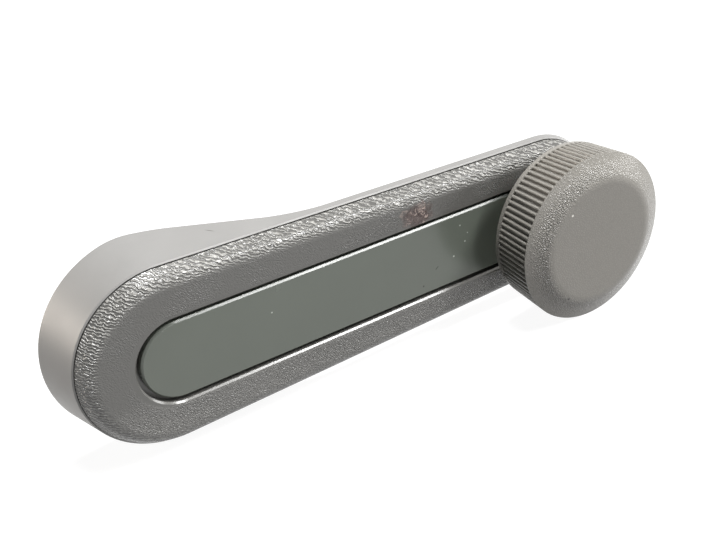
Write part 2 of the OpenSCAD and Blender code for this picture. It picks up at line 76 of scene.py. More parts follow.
DROP = 3.0                             # How far the flare is drawn on below the rear face, in mm
FLOOR_H, FLOOR_CUT = 11.3, 10.0        # Underside of the pocket's floor, and where cuts through it start
SPINDLE_HOLE_R = 3.03                  # Hole for the knob's spindle, in mm
SCREWS = ((17, 4.8), (17, -4.8))       # Places of the two frame screws, in mm
LEGS_X = (26, 58)                      # Places of the snap legs along the arm, in mm
PER_RIB = 8                            # Columns of faces in the pitch of a rib

# The camera was fitted to the crank's outlines and seams
CAMERA_PLACE = (-0.05870, -0.17387, 0.10976)
CAMERA_AHEAD, CAMERA_UP = Vector((0.4531, 0.7429, -0.4928)), Vector((0.3282, 0.3750, 0.8670))
CAMERA_LENS, CAMERA_SENSOR = 57.06, 36.0
LAMP_DISTANCE = 0.9


def linear(code):
    """An sRGB hex colour as linear red, green, blue and alpha."""
    parts = [int(code[i:i + 2], 16) / 255 for i in (1, 3, 5)]
    return tuple(c / 12.92 if c <= 0.04045 else ((c + 0.055) / 1.055) ** 2.4 for c in parts) + (1.0,)


def size(name, description, metres):
    return FloatProperty(name=name, description=description, default=metres, unit="LENGTH", precision=5)


def colour(name, description, code):
    return FloatVectorProperty(name=name, description=description, default=linear(code)[:3],
                               subtype="COLOR", min=0.0, max=1.0)


class CrankArmSizes(bpy.types.PropertyGroup):
    reach: size("Crank radius", "Distance from the hub axis to the knob axis", KNOB_X)
    hub_r: size("Hub half width", "Half width of the arm at the hub, on the seam", 0.0179)
    tip_r: size("Tip half width", "Half width of the arm at the knob end, on the seam", 0.0154)
    foot_r: size("Foot radius", "Radius of the flared hub at its rear face", -SHELL_LOW.x)
    seam_h: size("Seam height", "Height of the seam above the hub's rear face", -SHELL_LOW.y)
    arm_h: size("Arm rear height", "Height of the arm's rear surface", 0.009)
    ramp_start: size("Ramp start", "Where the ramp leaves the rear face", 0.001)
    ramp_end: size("Ramp end", "Where the ramp reaches the arm", 0.029)
    bend_r: size("Ramp bend", "Radius of the bends at both ends of the ramp", 0.040)
    skin: size("Rear skin", "Thickness of the rear skin", 0.0011)
    wall: size("Side wall", "Thickness of the side walls", 0.002)
    rim: size("Rim radius", "Radius of the soft edge round the rear face", 0.0003)
    lip_w: size("Seam lip", "Width of the shell's thin edge outside the seam's slot", 0.00025)
    slot_w: size("Seam slot width", "Width of the slot behind that edge", 0.00055)
    slot_d: size("Seam slot depth", "Depth of the slot", 0.00035)
    seat_h: size("Plate seat", "Height at which the core plate sits in the hub", 0.0054)
    recess_d: size("Recess depth", "Depth of the recess in the hub's rear face", 0.0042)
    collar_r: size("Collar radius", "Outer radius of the collar round the metal hub", 0.0099)
    socket_r: size("Metal hub radius", "Radius of the hole for the metal hub", 0.00803)
    stiffeners: IntProperty(name="Stiffeners", description="Webs between collar and skirt", default=7, min=1)


class CrankFrameSizes(bpy.types.PropertyGroup):
    face_h: size("Face height", "Height of the face above the hub's rear face", -FRAME_LOW.y)
    ledge: size("Ledge", "Step between the frame and the seam outline", 0.0002)
    lean: FloatProperty(name="Side lean", description="Inward lean of the frame's side",
                        default=math.radians(33), subtype="ANGLE")
    shoulder_r: size("Shoulder radius", "Radius of the rounded shoulder", 0.003)
    skin: size("Skin", "Thickness of the frame's skin", 0.0018)
    wall: size("Wall", "Width of the frame's wall where it stands on the shell", 0.0026)
    groove_h: size("Seam groove height", "Height of the shadow groove over the seam", 0.00024)
    groove_d: size("Seam groove depth", "Depth of that groove", 0.0006)
    pocket_hub_r: size("Pocket half width, hub", "Half width of the pocket at the hub", 0.0084)
    pocket_tip_r: size("Pocket half width, tip", "Half width of the pocket at the knob", 0.00814)
    pocket_x: size("Pocket centre", "Where the round end of the pocket is centred", 0.00085)
    pocket_end: size("Pocket end", "Where the pocket ends under the knob", 0.07675)
    pocket_edge: size("Pocket edge", "Width of the pocket's slanted edge", 0.00032)
    well_r: size("Well radius", "Radius of the screwdriver well", 0.0066)


class CrankStripSizes(bpy.types.PropertyGroup):
    top_h: size("Top height", "Height of the strip's face", -STRIP_LOW.y)
    thick: size("Thickness", "Thickness of the strip", 0.0014)
    start: size("Start", "Where the strip's round end is centred", 0.0011)
    end: size("End", "Where the strip ends under the knob", 0.07618)
    hub_r: size("Half width, hub", "Half width of the strip at the hub", 0.00775)
    tip_r: size("Half width, tip", "Half width of the strip at the knob", 0.00749)
    edge: size("Edge", "Width of the strip's slanted upper edge", 0.0004)
    bead_x: size("Bead place", "Where the strip's bead lies along the arm", 0.077)
    bead_r: size("Bead radius", "Radius of the bead that the strip turns on", 0.0007)
    leg_low: size("Leg reach", "Height of the snap legs' lower ends", -STRIP_HIGH.y)
    leg_l: size("Leg length", "Length of a snap leg along the arm", 0.003)
    leg_t: size("Leg thickness", "Thickness of a snap leg", 0.0009)
    leg_y: size("Leg offset", "Distance of the legs from the middle of the strip", 0.0056)


class CrankKnobSizes(bpy.types.PropertyGroup):
    radius: size("Radius", "Largest radius, at the upper end of the ribbed side", CAP_HIGH.z)
    draw: size("Side draw", "How far the side is drawn in towards the lower edge", 0.00075)
    base_h: size("Base height", "Height of the knob's lower edge", -CAP_HIGH.y)
    top_h: size("Top height", "Height of the knob's face", -CAP_LOW.y)
    rib_h: size("Groove depth", "Depth of the grooves between the ribs", 0.0005)
    lip_h: size("Lip height", "Height of the plain lip under the grooves", 0.0011)
    groove_end: size("Groove end", "Distance between the grooves and the slanted edge", 0.0001)
    edge_w: size("Edge width", "Width of the slanted edge round the face", 0.0047)
    edge_h: size("Edge height", "Height of the slanted edge", 0.0023)
    crest_r: size("Crest radius", "Radius of the bend between the slanted edge and the face", 0.0046)
    bore_r: size("Bore radius", "Radius of the hollow inside", 0.0148)
    bore_step: size("Bore step", "Step in the wall that seats the core", 0.0005)
    step_h: size("Step height", "Height of that step above the lower edge", 0.0021)
    top_t: size("Face thickness", "Thickness of the cap under its face", 0.0019)
    ribs: IntProperty(name="Ribs", description="Number of ribs round the knob", default=90, min=12)


class CrankFinishes(bpy.types.PropertyGroup):
    shell: colour("Shell", "Rear shell", "#7c7b79")
    frame: colour("Frame", "Grained frame", "#62615e")
    strip: colour("Strip", "Smooth strip", "#5f645c")
    knob: colour("Knob", "Knob cap", "#7e7b75")
    grain: size("Leather grain", "Distance between the ridges on the frame's shoulder", 0.00056)
    fine_grain: size("Fine grain", "Breadth of a pebble on the knob", 0.00045)


class CrankStage(bpy.types.PropertyGroup):
    key_power: FloatProperty(name="Overhead light", description="Power of the overhead softbox",
                             default=13.6, unit="POWER")
    front_power: FloatProperty(name="Front light", description="Power of the softbox high at the front right",
                               default=6.7, unit="POWER")
    spot_power: FloatProperty(name="Front spotlight", description="Power of the small lamp straight in front",
                              default=1.1, unit="POWER")
    right_power: FloatProperty(name="Right light", description="Power of the softbox at the right",
                               default=3.9, unit="POWER")
    rear_power: FloatProperty(name="Rear light", description="Power of the softbox at the rear left",
                              default=4.6, unit="POWER")
    floor_lean: FloatProperty(name="Floor lean", description="Lean of the floor that the crank lies on",
                              default=math.radians(1.72), subtype="ANGLE")


GROUPS = {
    "crank_arm": CrankArmSizes, "crank_frame": CrankFrameSizes, "crank_strip": CrankStripSizes,
    "crank_knob": CrankKnobSizes, "crank_finishes": CrankFinishes, "crank_stage": CrankStage,
}


def in_mm(sizes, names):
    """The named sizes in millimetres, in which the pieces are drawn."""
    return [getattr(sizes, name) * 1000 for name in names.split()]


# Selecting and editing

def make_active(piece):
    """Leaves only this piece selected, in object mode."""
    if bpy.context.mode != "OBJECT":
        bpy.ops.object.mode_set(mode="OBJECT")
    bpy.ops.object.select_all(action="DESELECT")
    if piece:
        piece.select_set(True)
        bpy.context.view_layer.objects.active = piece


@contextmanager
def editing(piece, kind, action="DESELECT"):
    """Edit mode on a piece with nothing or all of it selected. kind is VERT, EDGE or FACE."""
    make_active(piece)
    bpy.ops.object.mode_set(mode="EDIT")
    bpy.ops.mesh.select_mode(type=kind)
    bpy.ops.mesh.select_all(action=action)
    yield
    bpy.ops.object.mode_set(mode="OBJECT")


def pick(piece, kind, test):
    """Adds to the selection each vertex, edge or face that passes the test."""
    mesh = bmesh.from_edit_mesh(piece.data)
    mesh.normal_update()
    for element in {"VERT": mesh.verts, "EDGE": mesh.edges, "FACE": mesh.faces}[kind]:
        if test(element):
            element.select_set(True)
    mesh.select_flush_mode()
    bmesh.update_edit_mesh(piece.data)


def new_piece(name):
    """Names the primitive that was just added and moves its place into its mesh."""
    piece = bpy.context.object
    piece.name = piece.data.name = name
    bpy.ops.object.transform_apply(location=True, rotation=True, scale=True)
    return piece


def oval_sheet(name, hub_r, tip_r, reach, height, start=0.0, sides=144):
    """A flat face bounded by two unequal round ends and the straight sides between them."""
    make_active(None)
    bpy.ops.mesh.primitive_circle_add(vertices=sides, radius=hub_r, fill_type="NGON",
                                      location=(start, 0, height))
    piece = new_piece(name)
    with editing(piece, "VERT"):
        pick(piece, "VERT", lambda v: v.co.x > start + EPS)
        bpy.ops.transform.resize(value=(tip_r / hub_r,) * 3, center_override=(start, 0, height))
        bpy.ops.transform.translate(value=(reach - start, 0, 0))
    return piece


def oval_block(hub_r, tip_r, reach, low, high, start=0.0, end=None):
    """A tool with two unequal round ends, cut off square at the given end."""
    piece = oval_sheet("tool", hub_r, tip_r, reach, low, start)
    if end:
        trim(piece, end)
    pull_up(piece, high - low)
    return piece


def raise_top(piece, rings):
    """Insets the top face ring by ring. Each ring gives how far it moves in and up."""
    with editing(piece, "FACE"):
        top = max(v.co.z for v in piece.data.vertices)
        pick(piece, "FACE", lambda f: abs(f.calc_center_median().z - top) < EPS)
        for inward, up in rings:
            bpy.ops.mesh.inset(thickness=inward, depth=up, use_boundary=True, use_even_offset=True)


def pull_up(piece, height):
    """Extrudes a flat sheet upwards into a closed block."""
    with editing(piece, "FACE", "SELECT"):
        bpy.ops.mesh.extrude_region_move(TRANSFORM_OT_translate={"value": (0, 0, height)})
    turn_out(piece)


def turn_out(piece):
    """Makes all the faces of a closed piece point outwards."""
    with editing(piece, "FACE", "SELECT"):
        bpy.ops.mesh.normals_make_consistent(inside=False)


def close_bottom(piece):
    """Fills the open lower rim with one face."""
    with editing(piece, "EDGE"):
        bpy.ops.mesh.select_non_manifold()
        bpy.ops.mesh.edge_face_add()
    turn_out(piece)


def trim(piece, x):
    """Cuts a sheet off square across the arm."""
    with editing(piece, "FACE", "SELECT"):
        bpy.ops.mesh.bisect(plane_co=(x, 0, 0), plane_no=(1, 0, 0), clear_outer=True)


def soften(piece, test, width, segments=3):
    """Rounds the edges that pass the test, or slants them where it is given one segment."""
    with editing(piece, "EDGE"):
        pick(piece, "EDGE", test)
        bpy.ops.mesh.bevel(offset=width, segments=segments, profile=0.5, affect="EDGES",
                           offset_type="OFFSET", clamp_overlap=True)


def combine(piece, tool, operation="DIFFERENCE"):
    """Cuts a tool from a piece, or joins it on, and deletes the tool."""
    make_active(piece)
    bpy.ops.object.modifier_add(type="BOOLEAN")
    change = piece.modifiers[-1]
    change.operation = operation
    change.solver = "EXACT"
    change.object = tool
    bpy.ops.object.modifier_apply(modifier=change.name)
    bpy.data.objects.remove(tool)


def post(radius, low, high, place=(0, 0), sides=64):
    """An upright round tool between two heights."""
    make_active(None)
    bpy.ops.mesh.primitive_cylinder_add(vertices=sides, radius=radius, depth=high - low,
                                        location=(place[0], place[1], (low + high) / 2))
    return new_piece("tool")


def block(low, high):
    """A box between two corners."""
    make_active(None)
    middle = [(a + b) / 2 for a, b in zip(low, high)]
    bpy.ops.mesh.primitive_cube_add(size=1, location=middle, scale=[b - a for a, b in zip(low, high)])
    return new_piece("tool")


def cross_bar(radius, place, half_width):
    """A round bar across the arm."""
    make_active(None)
    bpy.ops.mesh.primitive_cylinder_add(vertices=32, radius=radius, depth=2 * half_width,
                                        location=(place[0], 0, place[1]), rotation=(math.pi / 2, 0, 0))
    return new_piece("tool")


def under_step(start, end, low, high, bend_r):
    """A block under the ramp: its top rises from low to high, and both corners are bent."""
    far = 200
    piece = block((-far, -far, -2 * DROP), (2 * far, far, low))
    for x in (start, end):
        with editing(piece, "FACE", "SELECT"):
            bpy.ops.mesh.bisect(plane_co=(x, 0, 0), plane_no=(1, 0, 0))
    with editing(piece, "VERT"):
        pick(piece, "VERT", lambda v: v.co.x > end - EPS and v.co.z > low - EPS)
        bpy.ops.transform.translate(value=(0, 0, high - low))
    turn = math.atan2(high - low, end - start)
    for x, z in ((start, low), (end, high)):
        soften(piece, lambda e: all(abs(v.co.z - z) < EPS and abs(v.co.x - x) < EPS for v in e.verts),
               bend_r * math.tan(turn / 2), segments=14)
    return piece


def smooth(piece, angle):
    """Smooth faces with sharp creases, and flat faces kept flat by weighted normals. The cuts leave some
    points in pairs, which are merged first."""
    with editing(piece, "VERT", "SELECT"):
        bpy.ops.mesh.remove_doubles(threshold=WELD)
    make_active(piece)
    bpy.ops.object.shade_smooth_by_angle(angle=math.radians(angle))
    bpy.ops.object.modifier_add(type="WEIGHTED_NORMAL")
    piece.modifiers[-1].keep_sharp = True
    bpy.ops.object.modifier_apply(modifier=piece.modifiers[-1].name)


def set_upright(piece):
    """Turns a piece from its back to its place on a door, in metres."""
    make_active(piece)
    piece.rotation_euler = (math.pi / 2, 0, 0)
    piece.scale = (0.001,) * 3
    bpy.ops.object.transform_apply(location=True, rotation=True, scale=True)


def fit(piece, body, node, material, angle=32):
    """Smooths a piece and gives it its place in the frame and its material."""
    smooth(piece, angle)
    set_upright(piece)
    piece.data.materials.clear()
    piece.data.materials.append(material)
    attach(piece, body)
    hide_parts(node)


# Materials

def feed(node, inputs):
    """Sets a node's inputs, or links them to other nodes."""
    for socket, value in inputs.items():
        if isinstance(value, bpy.types.Node):
            value = next(o for o in value.outputs if o.enabled)
        if isinstance(value, bpy.types.NodeSocket):
            node.id_data.links.new(value, node.inputs[socket])
        else:
            node.inputs[socket].default_value = value


def add(tree, kind, inputs=None, **settings):
    """Adds a shader node with its settings and its inputs."""
    made = tree.nodes.new("ShaderNode" + kind)
    for name, value in settings.items():
        setattr(made, name, value)
    feed(made, inputs or {})
    return made


def new_material(name, tint, roughness, ior=1.53):
    """A material, its nodes, its shader and the place on the object. The IOR of ABS is 1.53."""
    made = bpy.data.materials.new(name)
    made.use_nodes = True
    surface = made.node_tree.nodes["Principled BSDF"]
    feed(surface, {"Base Color": (*tint[:3], 1.0), "Roughness": roughness, "IOR": ior})
    return made, made.node_tree, surface, add(made.node_tree, "TexCoord").outputs["Object"]


def shades(tree, factor, tint, dark, light):
    """Varies a tint between a darker and a lighter share of itself."""
    return add(tree, "Mix", {0: factor, COLOUR_A: (*[c * dark for c in tint[:3]], 1.0),
                             COLOUR_B: (*[min(c * light, 1.0) for c in tint[:3]], 1.0)},
               data_type="RGBA").outputs[2]


def over(tree, base, mark, code):
    """Lays a colour over another where there is a mark."""
    return add(tree, "Mix", {0: mark, COLOUR_A: base, COLOUR_B: linear(code)}, data_type="RGBA").outputs[2]


def either(tree, marks):
    """The stronger of several marks."""
    strongest = marks[0]
    for mark in marks[1:]:
        strongest = add(tree, "Math", {0: strongest, 1: mark}, operation="MAXIMUM")
    return strongest


def spot(tree, place, centre, radius):
    """1 inside a small round mark and 0 outside it. Its place and size are in millimetres."""
    away = add(tree, "VectorMath", {0: place, 1: [c / 1000 for c in centre]}, operation="DISTANCE")
    return add(tree, "MapRange", {"Value": away, "From Min": radius / 1000, "From Max": radius / 2000})


def scratch(tree, place, start, end, width):
    """1 along a thin straight mark and 0 beside it. Its ends and width are in millimetres."""
    start, along = Vector(start) / 1000, (Vector(end) - Vector(start)) / 1000
    offset = add(tree, "VectorMath", {0: place, 1: start}, operation="SUBTRACT")
    share = add(tree, "VectorMath", {0: offset, 1: along / along.length_squared}, operation="DOT_PRODUCT")
    share = add(tree, "Math", {0: share, 1: 0.0}, operation="ADD", use_clamp=True)
    nearest = add(tree, "VectorMath", {0: along, "Scale": share}, operation="SCALE")
    away = add(tree, "VectorMath", {0: offset, 1: nearest}, operation="DISTANCE")
    return add(tree, "MapRange", {"Value": away, "From Min": width / 1000, "From Max": width / 3000})


def pebbles(tree, place, breadth):
    """Height of a pebbled grain: 0 in its creases and 1 on its pebbles."""
    drift = add(tree, "TexNoise", {"Vector": place, "Scale": 0.35 / breadth, "Detail": 2.0})
    drift = add(tree, "VectorMath", {0: drift.outputs["Color"], 1: (0.5, 0.5, 0.5)}, operation="SUBTRACT")
    bent = add(tree, "VectorMath", {0: drift, 1: (1.5 * breadth,) * 3, 2: place}, operation="MULTIPLY_ADD")
    edges = add(tree, "TexVoronoi", {"Vector": bent, "Scale": 1 / breadth}, feature="DISTANCE_TO_EDGE")
    return add(tree, "MapRange", {"Value": edges, "From Max": 0.32}, interpolation_type="SMOOTHSTEP")


def wrinkles(tree, place, spacing, turn):
    """Height of wavy ridges an even distance apart, that run together and end: 0 between them, 1 on top."""
    laid = add(tree, "Mapping", {"Vector": place, "Rotation": (0, turn, 0)}, vector_type="TEXTURE")
    wave = add(tree, "TexWave", {"Vector": laid, "Scale": math.pi / 10 / spacing, "Distortion": 6.0,
                                 "Detail": 1.0, "Detail Scale": 1.9}, bands_direction="Z")
    ends = add(tree, "Mapping", {"Vector": laid, "Scale": (2.0, 1.0, 1.0)}, vector_type="TEXTURE")
    ends = add(tree, "TexNoise", {"Vector": ends, "Scale": 1 / spacing, "Detail": 1.0})
    both = add(tree, "Math", {0: wave, 1: ends}, operation="MULTIPLY")
    return add(tree, "MapRange", {"Value": both, "From Min": 0.02, "From Max": 0.62},
               interpolation_type="SMOOTHSTEP")


def satin_shell(look):
    """ABS moulded in a polished tool: an even soft sheen, faint clouds where hands have rubbed it, and one
    dark scratch."""
    made, tree, surface, place = new_material("ABS, moulded satin", look.shell, 0.42)
    cloud = add(tree, "TexNoise", {"Vector": place, "Scale": 1 / 0.012, "Detail": 4.0, "Roughness": 0.6})
    base = shades(tree, cloud, look.shell, 0.93, 1.07)
    line = scratch(tree, place, (10.0, -3.7, 18.6), (16.0, -9.0, 18.2), 0.12)
    rub = add(tree, "MapRange", {"Value": cloud, "From Min": 0.3, "From Max": 0.7,
                                 "To Min": 0.36, "To Max": 0.5})
    skin = add(tree, "TexNoise", {"Vector": place, "Scale": 1 / 0.0004, "Detail": 2.0})
    feed(surface, {"Base Color": over(tree, base, line, "#4a4845"), "Roughness": rub,
                   "Normal": add(tree, "Bump", {"Height": skin, "Distance": 0.000004})})
    return made


def face_grain(tree, place, spacing, out, low):
    """Height of the face's fine grain, stronger in patches and low on the arm, up to the pocket's edge."""
    drawn = add(tree, "Mapping", {"Vector": place, "Rotation": (0, math.radians(50), 0),
                                  "Scale": (1.8, 1.0, 1.0)}, vector_type="TEXTURE")
    fine = add(tree, "TexNoise", {"Vector": drawn, "Scale": 2.2 / spacing, "Detail": 1.0})
    fine = add(tree, "MapRange", {"Value": fine, "From Min": 0.32, "From Max": 0.68, "To Max": 1.6},
               interpolation_type="SMOOTHSTEP")
    patch = add(tree, "TexNoise", {"Vector": place, "Scale": 1 / 0.006, "Detail": 2.0})
    share = add(tree, "MapRange", {"Value": patch, "From Min": 0.4, "From Max": 0.66,
                                   "To Min": 0.07, "To Max": 0.28})
    share = add(tree, "Math", {0: share, 1: low}, operation="ADD")
    past_edge = add(tree, "MapRange", {"Value": out, "From Min": 0.0088, "From Max": 0.0092})
    share = add(tree, "Math", {0: share, 1: past_edge}, operation="MULTIPLY")
    return add(tree, "Math", {0: fine, 1: share}, operation="MULTIPLY")


def scuffed(tree, place, base):
    """Lays a reddish scuff over a colour: drawn out along the arm, and torn into slanting strokes."""
    wave = add(tree, "TexNoise", {"Vector": place, "Scale": 1 / 0.0012, "Detail": 4.0})
    drift = add(tree, "VectorMath", {0: wave.outputs["Color"], 1: (0.004, 0.0, 0.004), 2: place},
                operation="MULTIPLY_ADD")
    laid = add(tree, "Mapping", {"Vector": drift, "Location": (0.0545, FRAME_LOW.y, 0.0125),
                                 "Scale": (1.5, 1.0, 1.0)}, vector_type="TEXTURE")
    rubbed = spot(tree, laid, (0, 0, 0), 2.8)
    slant = add(tree, "Mapping", {"Vector": drift, "Rotation": (0, math.radians(-20), 0),
                                  "Scale": (2.6, 1.0, 1.0)}, vector_type="TEXTURE")
    torn = add(tree, "TexNoise", {"Vector": slant, "Scale": 1 / 0.0005, "Detail": 2.0})
    deep = add(tree, "MapRange", {"Value": torn, "From Min": 0.46, "From Max": 0.4, "To Max": 0.9})
    pale = add(tree, "MapRange", {"Value": torn, "From Min": 0.58, "From Max": 0.64, "To Max": 0.7})
    for strength, code in ((0.7, "#54403c"), (deep, "#3a2a27"), (pale, "#c9b4aa")):
        mark = add(tree, "Math", {0: rubbed, 1: strength}, operation="MULTIPLY")
        base = over(tree, base, mark, code)
    return base


def leather_frame(look):
    """ABS moulded in a leather-etched tool: wavy ridges that glint on the shoulder, with painted shade
    between them and painted highlight on their tops, a faint fine grain on the face, lifted low on the arm by
    painted floor light, and one reddish scuff where something has rubbed."""
    made, tree, surface, place = new_material("ABS, moulded leather grain", look.frame, 0.2)
    axes = add(tree, "SeparateXYZ", {"Vector": place}).outputs

    # The flat face, and all within 10 mm of the arm's middle, has the fine grain and the rest the ridges
    flat = add(tree, "MapRange", {"Value": axes["Y"], "From Min": FRAME_LOW.y + 0.0003,
                                  "From Max": FRAME_LOW.y})
    back = add(tree, "Math", {0: axes["X"], 1: 0.0}, operation="MINIMUM")
    out = add(tree, "CombineXYZ", {"X": back, "Z": axes["Z"]})
    out = add(tree, "VectorMath", {0: out}, operation="LENGTH")
    by_pocket = add(tree, "MapRange", {"Value": out, "From Min": 0.0104, "From Max": 0.0096})
    on_face = add(tree, "Math", {0: flat, 1: by_pocket}, operation="MAXIMUM")
    low = add(tree, "MapRange", {"Value": axes["Z"], "From Min": -0.005, "From Max": -0.012, "To Max": 0.45})
    bold = wrinkles(tree, place, look.grain, math.radians(24))
    fine = face_grain(tree, place, look.grain, out, low)
    height = add(tree, "Mix", {0: on_face, 2: bold, 3: fine}, data_type="FLOAT")

    # Painted light: the gaps between the ridges are painted darker as shade, and their tops much lighter as
    # highlight
    # Painted floor light: the face's tone is lifted low on the arm, a painted reflection of the white floor
    face_tone_painted_floor_light = add(tree, "Math", {0: low, 1: 0.6, 2: 0.16}, operation="MULTIPLY_ADD")
    pale = add(tree, "Mix", {0: on_face, 2: bold, 3: face_tone_painted_floor_light}, data_type="FLOAT")
    # Painted shade and highlight: 0.66 to 2.35 times the frame's tint, set by the ridges' height, or on the
    # face by its lifted tone
    base = scuffed(tree, place, shades(tree, pale, look.frame, 0.66, 2.35))
    feed(surface, {"Base Color": base, "Normal": add(tree, "Bump", {"Height": height, "Distance": 0.0002})})
    return made


def gloss_strip(look):
    """ABS moulded in a smooth tool: a semi-gloss face with a few specks of dust, a nick and a dark speck."""
    made, tree, surface, place = new_material("ABS, moulded semi-gloss", look.strip, 0.24)
    smear = add(tree, "TexNoise", {"Vector": place, "Scale": 1 / 0.015, "Detail": 5.0})
    rub = add(tree, "MapRange", {"Value": smear, "To Min": 0.16, "To Max": 0.32})
    face = STRIP_LOW.y * 1000
    dust = [spot(tree, place, (x, face, z), r) for x, z, r in (
        (62.8, 4.8, 0.2), (63.9, 0.9, 0.22), (61.0, -1.5, 0.24), (64.6, 2.6, 0.14), (19.5, 2.1, 0.2))]
    chip = scratch(tree, place, (56.5, face, -2.8), (57.0, face, -2.4), 0.16)
    base = shades(tree, smear, look.strip, 0.94, 1.06)
    base = over(tree, base, either(tree, dust), "#b4b8b0")
    base = over(tree, base, chip, "#3a3c38")
    base = over(tree, base, spot(tree, place, (53.3, face, -5.5), 0.25), "#35332f")
    feed(surface, {"Base Color": base, "Roughness": rub})
    return made


def fine_grain_knob(look):
    """ABS moulded with a fine spark-eroded grain: it sparkles on the round crest, and years of turning have
    rubbed it away on the face and towards one side. The crest has a few nicks."""
    made, tree, surface, place = new_material("ABS, moulded fine grain", look.knob, 0.2)
    axes = add(tree, "SeparateXYZ", {"Vector": place}).outputs
    crest = CAP_LOW.y + 0.0004
    off_crest = add(tree, "Math", {0: axes["Y"], 1: crest}, operation="SUBTRACT")
    off_crest = add(tree, "Math", {0: off_crest}, operation="ABSOLUTE")
    keen = add(tree, "MapRange", {"Value": off_crest, "From Min": 0.0003, "From Max": 0.0014,
                                  "To Min": 1.0, "To Max": 0.25})
    on_face = add(tree, "MapRange", {"Value": axes["Y"], "From Min": CAP_LOW.y, "From Max": crest,
                                     "To Min": 0.1}, interpolation_type="SMOOTHSTEP")
    worn = add(tree, "MapRange", {"Value": axes["X"], "From Min": KNOB_X - 0.008, "From Max": KNOB_X + 0.006,
                                  "To Min": 1.0, "To Max": 0.2})
    for share in (on_face, worn):
        keen = add(tree, "Math", {0: keen, 1: share}, operation="MULTIPLY")
    grain = pebbles(tree, place, look.fine_grain)
    pits = add(tree, "TexNoise", {"Vector": place, "Scale": 1 / 0.0002, "Detail": 3.0})
    rough = add(tree, "Math", {0: pits, 1: 0.5, 2: grain}, operation="MULTIPLY_ADD")
    height = add(tree, "Math", {0: rough, 1: keen}, operation="MULTIPLY")
    face = CAP_LOW.y * 1000
    nicks = either(tree, [spot(tree, place, (76.9, face, -10.4), 0.45),
                          scratch(tree, place, (76.2, face, -9.8), (77.4, face, -10.9), 0.2)])
    base = shades(tree, rough, look.knob, 0.9, 1.05)
    base = over(tree, base, nicks, "#3d3a36")
    base = over(tree, base, spot(tree, place, (77.4, face, 8.1), 0.3), "#e4e0d8")
    feed(surface, {"Base Color": base, "Specular IOR Level": 0.35,
                   "Normal": add(tree, "Bump", {"Height": height, "Distance": 0.00019})})
    return made


def bare_metal(name, code, roughness, grain, depth):
    """A bare metal with the tool marks or cast skin of its making."""
    made, tree, surface, place = new_material(name, linear(code), roughness, ior=1.5)
    marks = add(tree, "TexNoise", {"Vector": place, "Scale": 1 / grain, "Detail": 4.0})
    rub = add(tree, "MapRange", {"Value": marks, "From Min": 0.3, "From Max": 0.7,
                                 "To Min": roughness * 0.8, "To Max": roughness * 1.3})
    feed(surface, {"Metallic": 1.0, "Roughness": rub,
                   "Normal": add(tree, "Bump", {"Height": marks, "Distance": depth})})
    return made


def natural_nylon():
    """Unfilled nylon as moulded: milky, slightly waxy, with light passing a little way in."""
    tint = linear("#d9d5c8")
    made, tree, surface, place = new_material("Nylon, natural", tint, 0.38, ior=1.52)
    cloud = add(tree, "TexNoise", {"Vector": place, "Scale": 1 / 0.003, "Detail": 3.0})
    feed(surface, {"Base Color": shades(tree, cloud, tint, 0.88, 1.05),
                   "Subsurface Weight": 0.15, "Subsurface Scale": 0.001})
    return made


# Pieces

def hub_recess(arm, flare):
    """A tool for the recess round the collar behind the hub, with slots where its webs stay."""
    foot_r, wall, recess_d, collar_r = in_mm(arm, "foot_r wall recess_d collar_r")
    recess = post(foot_r - wall - recess_d * flare / 2, -1, recess_d, sides=96)
    combine(recess, post(collar_r, -2, recess_d + 1, sides=96))
    half_web = 0.5
    for i in range(arm.stiffeners):
        web = block((collar_r - 1, -half_web, 1), (foot_r, half_web, recess_d + 1))
        web.rotation_euler.z = 2 * math.pi * (i + 1) / (arm.stiffeners + 1)
        make_active(web)
        bpy.ops.object.transform_apply(rotation=True)
        combine(recess, web)
    return recess


def shell_piece(arm):
    """Smooth rear shell: flared hub, ramp and shallow tray, hollow from the front and recessed behind."""
    reach, hub_r, tip_r, foot_r, seam_h, arm_h, start, end, bend_r = in_mm(
        arm, "reach hub_r tip_r foot_r seam_h arm_h ramp_start ramp_end bend_r")
    skin, wall, rim, lip_w, slot_w, slot_d, seat_h, collar_r, socket_r = in_mm(
        arm, "skin wall rim lip_w slot_w slot_d seat_h collar_r socket_r")
    flare = (foot_r - hub_r) / seam_h

    def flared(inset, high):
        """A block with the shell's flare, from below the rear face up to a height."""
        grow = flare * (seam_h + DROP) - inset
        piece = oval_sheet("rear_shell", hub_r + grow, tip_r + grow, reach, -DROP)
        raise_top(piece, [(flare * (high + DROP), high + DROP)])
        close_bottom(piece)
        return piece

    shell = flared(0, seam_h)
    combine(shell, under_step(start, end, 0, arm_h, bend_r))

    # The rear face's outer edge is rounded, and the seam's edge is slanted over most of the lip
    soften(shell, lambda e: len(e.link_faces) == 2 and min(f.normal.z for f in e.link_faces) < -0.7
           and max(f.normal.z for f in e.link_faces) > -0.4, rim, 4)
    soften(shell, lambda e: min(v.co.z for v in e.verts) > seam_h - EPS, lip_w * 0.85, 1)

    # The hollow follows the ramp one skin's thickness inside it
    slope = (end - start) / arm_h
    rise = skin * math.hypot(1, 1 / slope)
    inner = [start + (h - rise) * slope for h in (seat_h, arm_h + skin)]
    hollow = flared(wall, seam_h + 1)
    combine(hollow, under_step(*inner, seat_h, arm_h + skin, bend_r / 2))
    combine(shell, hollow)

    combine(shell, hub_recess(arm, flare))
    combine(shell, post(collar_r, 0, seat_h, sides=96), "UNION")
    combine(shell, post(socket_r, -1, seat_h + 1, sides=96))
    combine(shell, post(SPINDLE_HOLE_R, arm_h - 1, arm_h + skin + 1, (reach, 0)))
    slot = oval_block(hub_r - lip_w, tip_r - lip_w, reach, seam_h - slot_d, seam_h + 1)
    back = lip_w + slot_w
    combine(slot, oval_block(hub_r - back, tip_r - back, reach, seam_h - 2, seam_h + 2))
    combine(shell, slot)
    return shell


